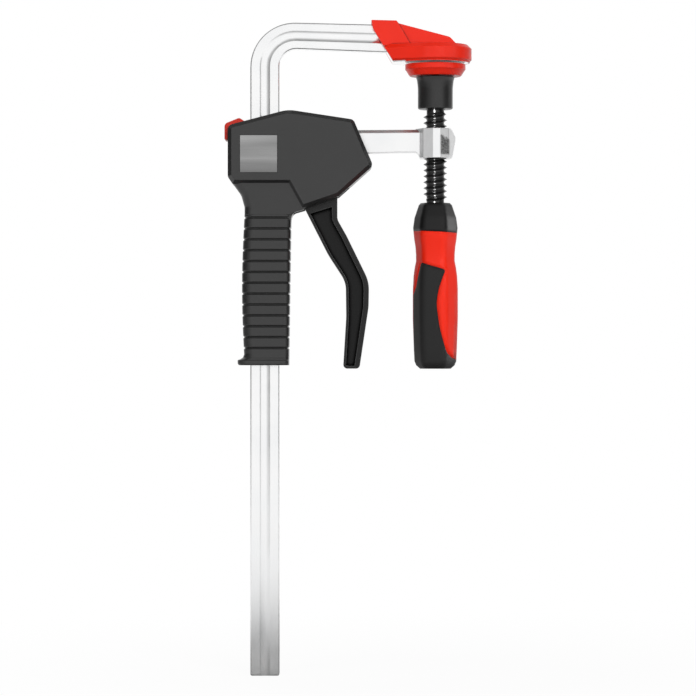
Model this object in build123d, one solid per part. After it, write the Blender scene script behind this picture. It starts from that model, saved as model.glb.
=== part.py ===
from build123d import *
from math import cos, pi, radians, sin, tan
import os

# Quick release bar clamp, closed. Millimetres, +Z up along the rail.
# The origin is the middle of the fixed jaw's face, on the axis of the screw.
# X runs from the rail towards the screw's side, Y from front to rear.

# --- Driving dimensions -------------------------------------------------------------------

# Rail and fixed arm
throat_depth = 105.5
rail_width = 19.5
rail_thickness = 9.5
rail_below_jaw = 414.0
rail_corner = 1.2
rail_groove_width = 7.0
rail_groove_depth = 1.1
bend_inner_radius = 11.5
bend_outer_radius = 30.0
arm_underside_height = 9.8
arm_underside_lean = 2.25
arm_root_height = 17.4
arm_top_lean = 1.35
arm_length_to_head = 66.0

# Fixed jaw head and its plastic cap
jaw_cap_radius = 24.5
jaw_cap_wall = 2.0
jaw_cap_roof = 2.6
jaw_cap_height = 12.0
jaw_cap_lip = 0.7
jaw_tail_reach = 36.0
jaw_tail_half_depth = 10.7
jaw_edge_foot = 28.0
jaw_fairing_half_depth = 9.0
jaw_band_half_depth = 10.2
jaw_fairing_root = 8.0
jaw_crest_reach = 13.2
jaw_top_chamfer = 2.6
jaw_bottom_chamfer = 1.2

# Swivel pad
closed_jaw_gap = 1.0
pad_radius = 20.4
pad_foot_radius = 17.6
pad_height = 7.9
pad_rim_height = 3.6
pad_cap_wall = 2.0
pressure_plate_thickness = 2.5
ball_radius = 3.8
ball_neck_radius = 2.6
ball_depth = 5.0
socket_boss_radius = 7.5
pad_sleeve_gap = 0.7

# Thrust sleeve and screw
sleeve_top_radius = 13.1
sleeve_radius = 11.8
sleeve_length = 21.7
sleeve_waist_drop = 8.0
sleeve_crown = 3.4
journal_radius = 6.6
spindle_radius = 8.0
spindle_to_handle = 63.4
shank_radius = 5.5
shank_length = 56.0
snap_ring_wire = 1.2
snap_ring_height = 5.0

# Handle
handle_across = 30.4
hexagon_share = 0.533
handle_length = 112.0
handle_twist = -7.0
handle_collar_height = 19.6
collar_slant = 2.7
handle_stations = [
    (0, 0.65), (0.013, 0.74), (0.09, 0.93), (0.15, 0.99), (0.22, 0.94), (0.26, 0.89), (0.31, 0.86),
    (0.35, 0.86), (0.39, 0.92), (0.44, 0.97), (0.52, 1.0), (0.70, 1.0), (0.87, 0.96), (0.955, 0.93),
    (0.98, 0.85), (1.0, 0.68),
]
handle_corner = 6.0
soft_lobe_turn = -20.0
end_cap_height = 6.1
soft_skin = 2.0
cross_pin_radius = 1.5
cross_pin_length = 17.0
cross_pin_depth = 30.0

# Sliding arm
boss_radius = 13.4
boss_height = 20.0
boss_top = -44.6
boss_facets = (-40, -8, 12, 41)
arm_half_thickness = 6.0
arm_top_drop = 1.3
arm_root_depth = 15.9
arm_tip_depth = 15.0
arm_chamfer = 2.2
arm_belly_reach = 39.5
collar_wall = 4.0
collar_half_depth = 9.8
collar_top_drop = 10.0
collar_height = 19.4
brake_notch_depth = 4.6
brake_notch_height = 5.6

# Housing
housing_half_depth = 16.0
neck_half_depth = 13.5
shell_wall = 2.8
housing_back = 15.0
rim_width = 3.2
rim_depth = 2.5
neck_round = 5.5
head_low_drop = 38.0
grip_wall = 4.4
guard_half_depth = 12.2
grip_half_depth = 13.4
grip_back = 3.8
grip_front = 8.1
grip_bulge = 1.8
grip_taper = 1.6
grip_back_corner = 6.8
grip_front_corner = 4.0
grip_top_drop = 56.4
grip_length = 103.3
grip_flange_height = 3.6
grip_flange_reach = 4.6
grip_flange_proud = 1.1
rib_pitch = 7.31
rib_groove_count = 13
rib_first_drop = 4.0
rib_groove_depth = 0.8
rib_groove_half_height = 0.9
nameplate_side = 24.9
nameplate_thickness = 0.6
nameplate_recess = 0.4
nameplate_back = 26.1
nameplate_drop = 5.2

# Pump lever and drive plate
pivot_reach = 21.5
pivot_drop = 25.4
pivot_pin_radius = 3.0
lever_head_radius = 6.4
lever_head_half_depth = 6.0
lever_half_depth = 8.0
lever_rim = 1.8
lever_palm_rim = 1.8
lever_web_half_depth = 2.2
drive_arm_reach = 16.0
drive_arm_drop = 4.0
drive_pin_radius = 2.5
drive_boss_radius = 4.6
drive_plate_thickness = 3.0
drive_plate_half_depth = 10.0
drive_plate_wall = 3.2
drive_spring_radius = 3.6
drive_spring_wire = 0.6
drive_spring_length = 13.0
spring_runs = 10

# Brake plate, its spring and the release button
brake_pivot_reach = 9.1
brake_pivot_drop = 7.0
brake_tilt = 5.0
brake_plate_thickness = 3.0
brake_plate_half_depth = 9.0
brake_plate_overhang = 3.2
brake_spring_radius = 2.4
brake_spring_wire = 0.45
brake_spring_drop = 12.4
button_half_depth = 9.2
button_travel = 2.5
button_drop = 7.8
button_finger_half_depth = 4.0
button_skin = 2.3

# Fasteners
screw_shank_radius = 1.3
screw_head_radius = 2.2
screw_head_height = 2.0
screw_sink = 0.4
grip_screw_sink = 0.8
screw_boss_radius = 2.8
screw_boss_cover = 1.3
screw_tip_cover = 3.0

# Clearances
running_fit = 0.05
body_gap = 0.3
seat_gap = 0.1
rail_slide_gap = 0.25

# --- Derived places -----------------------------------------------------------------------

rail_inner_x = -throat_depth
rail_outer_x = rail_inner_x - rail_width
rail_mid_x = rail_inner_x - rail_width / 2
rail_half = rail_thickness / 2
arm_end_x = rail_inner_x + arm_length_to_head
rail_tip_x = arm_end_x + jaw_cap_radius / 2
pad_top = -closed_jaw_gap
pad_bottom = pad_top - pad_height
ball_z = pad_top - ball_depth
sleeve_top = pad_bottom - pad_sleeve_gap
sleeve_bottom = sleeve_top - sleeve_length
handle_top = sleeve_bottom - spindle_to_handle
handle_bottom = handle_top - handle_length
boss_bottom = boss_top - boss_height
arm_top = boss_top - arm_top_drop
collar_top = boss_top - collar_top_drop
collar_bottom = collar_top - collar_height
housing_left = rail_outer_x - housing_back
head_low = boss_top - head_low_drop
grip_left = rail_outer_x - grip_back
grip_right = rail_inner_x + grip_front
grip_top = boss_top - grip_top_drop
grip_bottom = grip_top - grip_length
rib_first = grip_top - rib_first_drop
nameplate_left = rail_inner_x - nameplate_back
nameplate_top = boss_top - nameplate_drop
pivot_x = rail_inner_x + pivot_reach
pivot_z = boss_top - pivot_drop
brake_pivot_x = rail_inner_x + brake_pivot_reach
brake_pivot_z = boss_top - brake_pivot_drop
button_low = boss_top - button_drop
brake_spring_x = (rail_outer_x - rail_slide_gap - collar_wall - body_gap
                  - brake_spring_radius - brake_spring_wire)
brake_spring_seat = brake_pivot_z - brake_spring_drop
drive_pin_x = pivot_x + drive_arm_reach
drive_pin_z = pivot_z - drive_arm_drop
drive_plate_top = drive_pin_z - drive_pin_radius - body_gap
drive_plate_bottom = drive_plate_top - drive_plate_thickness
drive_spring_x = rail_inner_x + body_gap + drive_spring_radius + drive_spring_wire + 1.4
far_out = 2 * rail_below_jaw


# --- Helpers ------------------------------------------------------------------------------

def side_face(corners):
    """Face in the XZ plane from (x, z, corner radius) triples."""
    points = [(x, z) for x, z, _ in corners]
    radii = [radius for _, _, radius in corners]
    return Plane.XZ * make_face(FilletPolyline(*points, radius=radii, close=True))


def side_slab(corners, half_depth):
    """Plate with the outline of side_face, half_depth to either side of the middle plane."""
    return extrude(side_face(corners), amount=half_depth, both=True)


def block(x_low, x_high, half_depth, z_low, z_high):
    """Box between two X and two Z values, centred on the middle plane."""
    place = Pos((x_low + x_high) / 2, 0, (z_low + z_high) / 2)
    return place * Box(x_high - x_low, 2 * half_depth, z_high - z_low)


def turned(profile):
    """Solid of revolution about the screw's axis from (radius, z) points."""
    face = Plane.XZ * make_face(Polyline(*profile, close=True))
    return revolve(face, Axis.Z)


def rod(radius, x, z, y_low, y_high):
    """Cylinder along Y."""
    plane = Plane(origin=(x, y_low, z), x_dir=(1, 0, 0), z_dir=(0, 1, 0))
    return extrude(plane * Circle(radius), amount=y_high - y_low)


def on_carriage(*corners):
    """Corners measured from the rail's inner face and the top of the boss, moved to their place."""
    return [(rail_inner_x + x, boss_top + z, radius) for x, z, radius in corners]


def post(radius, x, z_low, z_high):
    """Cylinder along Z in the middle plane."""
    return Pos(x, 0, z_low) * extrude(Circle(radius), amount=z_high - z_low)


def coil_spring(x, z_low, length, radius, wire, turns):
    """Compression spring along Z, wound in short straight runs; radius is to the middle of the wire."""
    rise = (length - 2.4 * wire) / turns
    steps = [i / spring_runs for i in range(spring_runs * turns + 1)]
    points = [(x + radius * cos(2 * pi * t), radius * sin(2 * pi * t), z_low + 1.2 * wire + rise * t)
              for t in steps]
    path = Polyline(*points)
    section = Plane(origin=path @ 0, z_dir=path % 0) * RegularPolygon(wire, 6)
    return sweep(section, path=path, transition=Transition.RIGHT)


# --- Rail with the fixed arm --------------------------------------------------------------

def arm_underside_z(x):
    return arm_underside_height - (x - rail_inner_x) * tan(radians(arm_underside_lean))


def arm_top_z(x):
    root = arm_underside_height + arm_root_height
    return root - (x - rail_inner_x) * tan(radians(arm_top_lean))


def arm_mid_z(x):
    return (arm_underside_z(x) + arm_top_z(x)) / 2


def rail_blank():
    """Upright and arm in one flat bar, before the grooves."""
    corners = [
        (rail_outer_x, -rail_below_jaw, rail_corner),
        (rail_inner_x, -rail_below_jaw, rail_corner),
        (rail_inner_x, arm_underside_z(rail_inner_x), bend_inner_radius),
        (rail_tip_x, arm_underside_z(rail_tip_x), 0),
        (rail_tip_x, arm_top_z(rail_tip_x), 0),
        (rail_outer_x, arm_top_z(rail_outer_x), bend_outer_radius),
    ]
    return side_slab(corners, rail_half)


def rail_groove(side):
    """Shallow trough that follows the middle of the bar; side is -1 in front, 1 behind."""
    tip_x = arm_end_x + jaw_cap_radius
    corner = (rail_mid_x, arm_mid_z(rail_mid_x))
    mid_radius = (bend_inner_radius + bend_outer_radius) / 2
    path = Plane.XZ * FilletPolyline(
        (rail_mid_x, -rail_below_jaw - 1), corner, (tip_x, arm_mid_z(tip_x)), radius=[mid_radius])
    half = rail_groove_width / 2
    floor = ThreePointArc((-half, 0), (0, -rail_groove_depth), (half, 0))
    trough = [floor, Polyline((half, 0), (half, 1), (-half, 1), (-half, 0))]
    start = Plane(origin=(rail_mid_x, side * rail_half, -rail_below_jaw - 1),
                  x_dir=(side, 0, 0), z_dir=(0, 0, 1))
    shifted = Pos(0, side * rail_half, 0) * path
    return sweep(start * make_face(trough), path=shifted)


def jaw_plan(grow):
    """Outline of the jaw seen along the screw: a round face with a tail towards the arm."""
    radius = jaw_cap_radius + grow
    tail_x = -jaw_tail_reach - grow
    tail = jaw_tail_half_depth + grow
    edges = [*Circle(radius).edges(), Line((tail_x, -tail), (tail_x, tail)).edge()]
    return make_hull(edges)


def jaw_plate(grow, z_low, z_high):
    return Pos(0, 0, z_low) * extrude(jaw_plan(grow), amount=z_high - z_low)


def jaw_fairing_corners():
    """Side view of the wedge that runs from the arm down to the round face."""
    top = arm_top_z(arm_end_x) + jaw_cap_roof
    crest_x = arm_end_x + jaw_crest_reach
    nose_x = 0.58 * jaw_cap_radius
    return [
        (arm_end_x - 4.0, top, 0.6),
        (crest_x, top - 0.4, 0.8),
        (crest_x + 1.4, top - 2.2, 1.0),
        (0.39 * jaw_cap_radius, jaw_cap_height + 5.0, 5.0),
        (nose_x, jaw_cap_height, 0),
        (nose_x, jaw_cap_height - jaw_fairing_root, 0),
        (-jaw_edge_foot - 1.0, jaw_cap_height - jaw_fairing_root, 0),
    ]


def jaw_left_cutter(shift):
    """What lies beyond the slanted left edge of the cap, moved left by shift."""
    top = arm_top_z(arm_end_x) + 10
    edge_x = arm_end_x - 4.2
    return side_slab([
        (-jaw_edge_foot - shift, -1, 0),
        (edge_x - shift, arm_top_z(arm_end_x) - 0.8, 0),
        (edge_x - shift, top, 0),
        (edge_x - 40, top, 0),
        (edge_x - 40, -1, 0),
    ], 2 * jaw_cap_radius)


def jaw_head(grow):
    """Forged steel head inside the cap; grow widens it to cut the cap's seat."""
    inset = jaw_cap_wall + seat_gap - grow
    plate = jaw_plate(-inset, 0, jaw_cap_height - inset) - jaw_left_cutter(grow)
    face = offset(side_face(jaw_fairing_corners()), amount=-inset, kind=Kind.INTERSECTION)
    wedge = extrude(face, amount=jaw_fairing_half_depth - inset, both=True)
    return plate + wedge


def rail_with_fixed_arm():
    bar = rail_blank()
    long_edges = bar.edges().filter_by(
        lambda e: abs(abs(e.center().Y) - rail_half) < 0.01 and e.length > 15)
    bar = chamfer(long_edges, rail_corner / 2)
    for side in (-1, 1):
        bar -= rail_groove(side)
    return bar + jaw_head(0)


def fixed_jaw_cap():
    plate = jaw_plate(0, jaw_cap_lip, jaw_cap_height)
    top_edges = plate.edges().group_by(Axis.Z)[-1]
    plate = chamfer(top_edges, jaw_top_chamfer)
    bottom_edges = plate.edges().group_by(Axis.Z)[0]
    plate = chamfer(bottom_edges, jaw_bottom_chamfer)
    fairing = side_slab(jaw_fairing_corners(), jaw_fairing_half_depth)
    top = arm_top_z(arm_end_x) + jaw_cap_roof
    crest_x = arm_end_x + jaw_crest_reach
    band = side_slab([
        (arm_end_x - 4.0, top, 0.6), (crest_x, top - 0.4, 0.8),
        (crest_x + 9.8, jaw_cap_height - 1, 0), (arm_end_x, jaw_cap_height - 1, 0),
    ], jaw_band_half_depth)
    cap = plate + fairing + band - jaw_left_cutter(0) - jaw_head(seat_gap)
    low_x = arm_end_x - 20
    tip_x = rail_tip_x + seat_gap
    arm_hole = side_slab([
        (low_x, arm_underside_z(low_x) - seat_gap, 0), (tip_x, arm_underside_z(tip_x) - seat_gap, 0),
        (tip_x, arm_top_z(tip_x) + seat_gap, 0), (low_x, arm_top_z(low_x) + seat_gap, 0),
    ], rail_half + seat_gap)
    return cap - arm_hole


# --- Swivel pad, sleeve and screw ---------------------------------------------------------

def pressure_plate():
    plate_radius = pad_radius - pad_cap_wall
    low = pad_top - pressure_plate_thickness
    boss_low = pad_bottom + 0.2
    body = turned([(0, pad_top), (plate_radius, pad_top), (plate_radius, low),
                   (socket_boss_radius, low), (socket_boss_radius, boss_low), (0, boss_low)])
    mouth = ball_neck_radius + 0.5
    body -= Pos(0, 0, ball_z) * Sphere(ball_radius + running_fit)
    return body - post(mouth, 0, boss_low - 1, ball_z - 1)


def swivel_cap():
    inner = pad_radius - pad_cap_wall + seat_gap
    ledge = pad_top - pressure_plate_thickness - seat_gap
    rim = pad_top - pad_rim_height
    hole = socket_boss_radius + seat_gap
    floor = pad_bottom + pad_cap_wall
    return turned([(inner, pad_top), (pad_radius, pad_top), (pad_radius, rim), (pad_radius - 0.5, rim - 0.4),
                   (pad_foot_radius + 0.2, pad_bottom + 0.6), (pad_foot_radius - 0.4, pad_bottom),
                   (hole, pad_bottom), (hole, floor), (pad_foot_radius - pad_cap_wall, floor),
                   (inner - 1.2, ledge), (inner, ledge)])


def ring_band(clearance):
    """Flat ring half in the sleeve and half in the screw's journal."""
    half = snap_ring_wire / 2 + clearance
    z = sleeve_bottom + snap_ring_height
    inner = journal_radius - half
    outer = journal_radius + half
    return turned([(inner, z - half), (outer, z - half), (outer, z + half), (inner, z + half)])


def thrust_sleeve():
    flare = sleeve_top_radius - sleeve_radius
    waist_z = sleeve_top - sleeve_waist_drop
    foot = 1.0
    body = turned([
        (0, sleeve_top), (sleeve_top_radius, sleeve_top),
        (sleeve_radius + 0.5 * flare, sleeve_top - 0.25 * sleeve_waist_drop),
        (sleeve_radius + 0.2 * flare, sleeve_top - 0.6 * sleeve_waist_drop),
        (sleeve_radius, waist_z), (sleeve_radius, sleeve_bottom + foot),
        (sleeve_radius - 0.3 * foot, sleeve_bottom + 0.3 * foot), (sleeve_radius - foot, sleeve_bottom),
        (0, sleeve_bottom),
    ])
    body += post(ball_neck_radius, 0, sleeve_top - 0.5, ball_z)
    body += Pos(0, 0, ball_z) * Sphere(ball_radius)
    body -= post(journal_radius + running_fit, 0, sleeve_bottom - 1, sleeve_top - sleeve_crown)
    return body - ring_band(running_fit)


def snap_ring():
    """Open ring that keeps the screw's journal in the sleeve."""
    gap = Pos(journal_radius, 0, sleeve_bottom + snap_ring_height) * Box(4, 3, 4)
    return ring_band(0) - gap


def spindle_screw():
    journal_top = sleeve_top - sleeve_crown - body_gap
    thread_top = sleeve_bottom - body_gap
    body = turned([(0, journal_top), (journal_radius - 1, journal_top), (journal_radius, journal_top - 1),
                   (journal_radius, thread_top), (spindle_radius - 1.2, thread_top),
                   (spindle_radius, thread_top - 1.2), (spindle_radius, handle_top),
                   (shank_radius, handle_top), (shank_radius, handle_top - shank_length),
                   (0, handle_top - shank_length)])
    body -= ring_band(running_fit)
    return body - rod(cross_pin_radius, 0, handle_top - cross_pin_depth, -shank_radius - 1, shank_radius + 1)


# --- Handle -------------------------------------------------------------------------------

def handle_section(z, across):
    """Hexagon with rounded corners, turned so that a corner is near the front."""
    corner = min(handle_corner, across * 0.2)
    hexagon = fillet(RegularPolygon(across * hexagon_share, 6).vertices(), corner)
    return Pos(0, 0, z) * (Rot(0, 0, handle_twist) * hexagon)


def handle_body(inset):
    """Collar, waisted grip and rounded end; inset makes it narrower all round and shorter below."""
    sections = []
    for down, width in handle_stations:
        z = handle_top - down * (handle_length - inset)
        sections.append(handle_section(z, width * handle_across - 2 * inset))
    return loft(sections, ruled=True)


def collar_zone():
    """Space of the collar, a little lower on the right-hand side."""
    low = handle_top - handle_collar_height
    fall = handle_across * tan(radians(collar_slant))
    return side_slab([(-handle_across, handle_top + 1, 0), (-handle_across, low + fall, 0),
                      (handle_across, low - fall, 0), (handle_across, handle_top + 1, 0)], handle_across)


def lobe():
    """One soft lobe in front: slanting at the top, waisted on the right, running into the end."""
    half = handle_across / 2

    def place(side, down):
        return side * half, handle_top - down * handle_length

    outline = FilletPolyline(
        place(-0.42, 0.358), place(0.70, 0.404), place(0.42, 0.53), place(0.34, 0.61), place(0.46, 0.74),
        place(0.74, 0.905), place(0.86, 0.94), place(1.2, 0.946), place(1.2, 0.99), place(-0.92, 0.99),
        place(-0.92, 0.56), place(-0.70, 0.504),
        radius=[1.8, 1.8, 30.0, 20.0, 40.0, 10.0, 2.0, 0, 0, 0, 3.0, 10.0], close=True)
    return extrude(Plane.XZ * make_face(outline), amount=handle_across)


def soft_zone():
    """Space of the soft material: two opposite lobes and the closed end."""
    lobes = lobe() + Rot(0, 0, 180) * lobe()
    end = post(handle_across, 0, handle_bottom - 1, handle_bottom + end_cap_height)
    return Rot(0, 0, soft_lobe_turn) * lobes + end


def shank_bore():
    return post(shank_radius + seat_gap, 0, handle_top - shank_length - seat_gap, handle_top + 1)


def handle_collar():
    return (handle_body(0) & collar_zone()) - shank_bore()


def handle_soft_grip():
    return (handle_body(0) & soft_zone()) - handle_body(soft_skin)


def handle_core():
    """Hard core, seen between the lobes and hidden below the soft skin."""
    body = handle_body(0) - collar_zone() - handle_soft_grip()
    return body - shank_bore() - handle_cross_pin()


def handle_cross_pin():
    """Pin through the screw's shank, moulded into the core."""
    half = cross_pin_length / 2
    return rod(cross_pin_radius, 0, handle_top - cross_pin_depth, -half, half)


# --- Sliding arm --------------------------------------------------------------------------

def boss():
    """Forged boss with flats, its nose widest a third of the way down."""
    right = [(boss_radius * sin(radians(a)), boss_radius * cos(radians(a))) for a in boss_facets]
    front = [(x, -y) for x, y in reversed(right)]
    plan = make_face(Polyline((-boss_radius, 0), *right, (boss_radius + 0.2, 0), *front, close=True))
    body = Pos(0, 0, boss_top) * extrude(plan, amount=-boss_height)
    side = side_slab([
        (-boss_radius, boss_top, 0), (0.78 * boss_radius, boss_top, 2.5),
        (1.04 * boss_radius, boss_top - 0.3 * boss_height, 4.0),
        (0.84 * boss_radius, boss_bottom, 2.0), (-0.78 * boss_radius, boss_bottom, 1.0),
        (-boss_radius, boss_bottom + 0.3 * boss_height, 0),
    ], 2 * boss_radius)
    return body & side


def arm_corners():
    """Side view of the arm from the collar to the boss."""
    collar_x = rail_inner_x + rail_slide_gap + collar_wall
    tip_low = boss_top - 0.9 - arm_tip_depth
    return [
        (collar_x - 3, collar_top, 0),
        (collar_x + 4.5, collar_top, 0),
        (collar_x + 4.5, arm_top, 0),
        (-4, boss_top - 0.6, 0),
        (-4, boss_bottom + 0.8, 0),
        (-0.78 * boss_radius, boss_bottom + 0.8, 0),
        (-boss_radius + 0.8, tip_low, 2.5),
        (-boss_radius - 12, tip_low, 8.0),
        (rail_inner_x + arm_belly_reach, arm_top - arm_root_depth, 10.0),
        (collar_x + 5, arm_top - arm_root_depth, 5.0),
        (collar_x, collar_bottom + 2, 0),
        (collar_x - 3, collar_bottom + 2, 0),
    ]


def brake_notch():
    """Pocket in the arm's step that takes the anchored end of the brake plate."""
    depth = brake_notch_depth
    low = brake_pivot_z - brake_notch_height / 2
    return block(brake_pivot_x - 9, brake_pivot_x + depth, brake_plate_half_depth + body_gap,
                 low, low + brake_notch_height)


def sliding_arm():
    web = side_slab(arm_corners(), arm_half_thickness)
    face_edges = web.edges().filter_by(lambda e: abs(abs(e.center().Y) - arm_half_thickness) < 0.01)
    web = chamfer(face_edges.filter_by(lambda e: e.center().Z > arm_top - 1), arm_chamfer)
    step_x = rail_inner_x + rail_slide_gap + collar_wall
    cheek = block(step_x - 1, step_x + 8, collar_half_depth, arm_top - arm_root_depth, arm_top - 2)
    collar = block(rail_outer_x - rail_slide_gap - collar_wall, step_x, collar_half_depth,
                   collar_bottom, collar_top)
    window = block(rail_outer_x - rail_slide_gap, rail_inner_x + rail_slide_gap,
                   rail_half + rail_slide_gap, collar_bottom - 1, collar_top + 20)
    body = web + cheek + collar + boss()
    body -= block(step_x - 30, step_x + 1.5, 30, collar_top, arm_top + 1)
    body -= window + brake_notch()
    return body - post(spindle_radius + running_fit, 0, boss_bottom - 1, boss_top + 1)


# --- Housing ------------------------------------------------------------------------------

def head_corners():
    """Side view of the raised body of the housing."""
    left = housing_left - rail_inner_x
    return on_carriage(
        (left, -32.9, 4.0), (left, 1.7, 4.0), (6.0, 12.3, 24.0), (50.1, 5.6, 4.0), (63.3, -25.4, 3.8),
        (40.3, -46.0, 0), (15.5, -54.5, 0), (6.2, -37.7, 0), (left + 3.2, -37.7, 0))


def neck_corners():
    """Side view of the part between the raised body and the grip, with the finger guard."""
    left = housing_left - rail_inner_x
    low = grip_top - boss_top
    grip_low = -rail_width - grip_back
    return on_carriage(
        (left, -25.4, 0), (left, -32.9, 3.0), (left + 9.0, -45.4, 10.0), (grip_low, low + 3.0, 6.0),
        (grip_low, low - 2.0, 0), (grip_front, low - 2.0, 0), (grip_front, low - 1.1, 0),
        (17.1, -54.9, 0.5), (21.5, -47.4, 0), (21.5, -25.4, 0))


def guard_web():
    """Rounded corner between the front of the grip and the finger guard."""
    low = grip_top - boss_top
    return side_slab(on_carriage(
        (grip_front - 3.0, low - 5.5, 0), (grip_front, low - 5.5, 0), (grip_front, low - 1.1, 5.0),
        (17.1, -54.9, 0), (17.1, -53.0, 0), (grip_front - 3.0, -53.0, 0)), guard_half_depth)


def grip_sides(z):
    """X of the grip's rear-facing and front-facing edges at one height."""
    share = (grip_top - z) / grip_length
    return grip_left - grip_bulge * sin(pi * share), grip_right - grip_taper * share


def grip_section(z, left, right, half_depth, inset):
    """Rounded outline of the grip at one height, rounder on the left."""
    x_low = left + inset
    x_high = right - inset
    half = half_depth - inset
    back = grip_back_corner - inset
    front = grip_front_corner - inset
    outline = FilletPolyline((x_low, -half), (x_high, -half), (x_high, half), (x_low, half),
                             radius=[back, front, front, back], close=True)
    return Pos(0, 0, z) * make_face(outline)


def grip_blank():
    """Ribbed grip: straight-sided between sections, with a V-shaped ring groove under each rib."""
    levels = [(grip_top, 0)]
    for i in range(rib_groove_count):
        z = rib_first - i * rib_pitch
        levels += [(z + rib_groove_half_height, 0), (z, rib_groove_depth), (z - rib_groove_half_height, 0)]
    levels.append((grip_bottom, 0))
    sections = [grip_section(z, *grip_sides(z), grip_half_depth, inset) for z, inset in levels]
    return loft(sections, ruled=True)


def grip_flange():
    """Finger stop that flares out at the lower end of the grip."""
    top = grip_bottom + grip_flange_height
    levels = [
        (top + 5.0, 0, 0.6), (top + 1.6, 0.2, 0), (top + 0.4, 0.6, 0), (top, 1, 0.5), (top - 0.5, 1, 0),
        (grip_bottom + 0.8, 1, 0), (grip_bottom, 1, 0.8),
    ]
    sections = []
    for z, share, inset in levels:
        left, right = grip_sides(z)
        half_depth = grip_half_depth + share * grip_flange_proud
        sections.append(grip_section(z, left - share * grip_flange_reach, right, half_depth, inset))
    return loft(sections, ruled=True)


def neck_blank():
    body = side_slab(neck_corners(), neck_half_depth)
    rim = body.edges().filter_by(
        lambda e: abs(abs(e.center().Y) - neck_half_depth) < 0.01
        and e.center().X < rail_outer_x and e.center().Z < head_low)
    return fillet(rim, neck_round)


def head_blank():
    body = side_slab(head_corners(), housing_half_depth)
    for side in (-1, 1):
        face = body.faces().sort_by(Axis.Y)[min(side, 0)]
        body = chamfer(face.edges(), rim_depth, rim_width, reference=face)
    return body


def shell_cavity():
    """Hollow for the mechanism: the raised body, the neck and the grip."""
    head = offset(side_face(head_corners()), amount=-shell_wall, kind=Kind.INTERSECTION)
    body = extrude(head, amount=housing_half_depth - shell_wall - rim_depth, both=True)
    core = offset(side_face(head_corners()), amount=-shell_wall - rim_width, kind=Kind.INTERSECTION)
    body += extrude(core, amount=housing_half_depth - shell_wall, both=True)
    neck_low = grip_top - 8
    left = housing_left - rail_inner_x
    neck = side_slab(on_carriage(
        (left + 6.0, -33.4, 0), (left + 11.6, -44.9, 0), (shell_wall - grip_back - rail_width, -53.0, 0),
        (shell_wall - grip_back - rail_width, neck_low - boss_top, 0),
        (grip_front - shell_wall, neck_low - boss_top, 0), (12.5, -52.4, 0), (17.5, -33.4, 0),
    ), neck_half_depth - shell_wall)
    grip = block(rail_outer_x - body_gap - 2, grip_right - grip_taper - shell_wall,
                 grip_half_depth - grip_wall, grip_bottom + 14, neck_low + 1)
    return body + neck + grip


def screw_places():
    """(x, z, half depth of the housing) of the housing screws."""
    head = [(rail_inner_x + x, boss_top + z, housing_half_depth)
            for x, z in ((25.5, 2.6), (51.9, -24.8), (-28.5, -28.0))]
    levels = [grip_top + 2.0] + [rib_first - (i + 0.5) * rib_pitch for i in (6, 11)]
    return head + [(rail_inner_x + 3.4, z, grip_half_depth - grip_screw_sink) for z in levels]


def shell_supports():
    """Bosses, ribs and seats moulded inside the shells."""
    inner = housing_half_depth - shell_wall + 0.5
    body = rod(lever_head_radius - 0.6, pivot_x, pivot_z, lever_head_half_depth + body_gap, inner)
    body += rod(lever_head_radius - 0.6, pivot_x, pivot_z, -inner, -lever_head_half_depth - body_gap)
    for x, z, depth in screw_places():
        reach = depth - screw_boss_cover
        body += rod(screw_boss_radius, x, z, -reach, reach)
    ledge_end = rail_outer_x - rail_slide_gap - collar_wall - seat_gap
    seat_reach = housing_half_depth - shell_wall - rim_depth + 0.3
    body += block(housing_left + 1, ledge_end, seat_reach, brake_spring_seat - 2.4, brake_spring_seat)
    seat = drive_plate_bottom - drive_spring_length
    body += block(rail_inner_x + body_gap, drive_spring_x + drive_spring_radius + drive_spring_wire,
                  neck_half_depth - 1, seat - 2.4, seat)
    for x in (rail_inner_x + 17.5, rail_inner_x + 45.5):
        rib = block(x - 1, x + 1, inner, arm_top - arm_root_depth - 0.6, arm_top + 1)
        body += rib - block(x - 2, x + 2, arm_half_thickness + seat_gap, -far_out, 0)
    rib = block(rail_mid_x - 4, rail_mid_x + 4, inner, collar_bottom + 2, collar_top - 1)
    body += rib - block(rail_mid_x - 5, rail_mid_x + 5, collar_half_depth + seat_gap, -far_out, 0)
    return body


def shell_openings():
    """Ways through the walls for the rail, the arm, the lever and the button."""
    rail_way = block(rail_outer_x - body_gap, rail_inner_x + body_gap, rail_half + body_gap,
                     -far_out, 0)
    arm_way = block(rail_inner_x + 43.5, rail_inner_x + 75.5, arm_half_thickness + seat_gap,
                    arm_top - arm_root_depth - seat_gap, arm_top + 0.5)
    lever_way = block(rail_inner_x + 9.5, rail_inner_x + 47.5, lever_half_depth + 0.6,
                      grip_top - 2.0, pivot_z - 14.0)
    button_way = block(housing_left - 5, rail_outer_x - 3.2, button_half_depth + body_gap,
                       button_low - button_travel - body_gap, button_low + 22.4)
    return rail_way + arm_way + lever_way + button_way


def housing_blank():
    body = head_blank() + neck_blank() + guard_web() + grip_blank() + grip_flange()
    body -= shell_cavity()
    body += shell_supports()
    body -= shell_openings()
    body -= rod(pivot_pin_radius + running_fit, pivot_x, pivot_z,
                -housing_half_depth + 1.5, housing_half_depth - 1.5)
    return body


def screw_holes():
    """Pilot holes in front, clearance holes and head seats behind."""
    holes = None
    for x, z, depth in screw_places():
        hole = rod(screw_shank_radius + seat_gap, x, z, -depth + screw_tip_cover, depth)
        hole += rod(screw_head_radius + seat_gap, x, z, depth - screw_head_height - screw_sink, depth + 5)
        holes = hole if holes is None else holes + hole
    return holes


def nameplate_recess_cut():
    side = nameplate_side / 2 + seat_gap
    middle_x = nameplate_left + nameplate_side / 2
    middle_z = nameplate_top - nameplate_side / 2
    return Pos(middle_x, -housing_half_depth, middle_z) * Box(2 * side, 2 * nameplate_recess, 2 * side)


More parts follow.
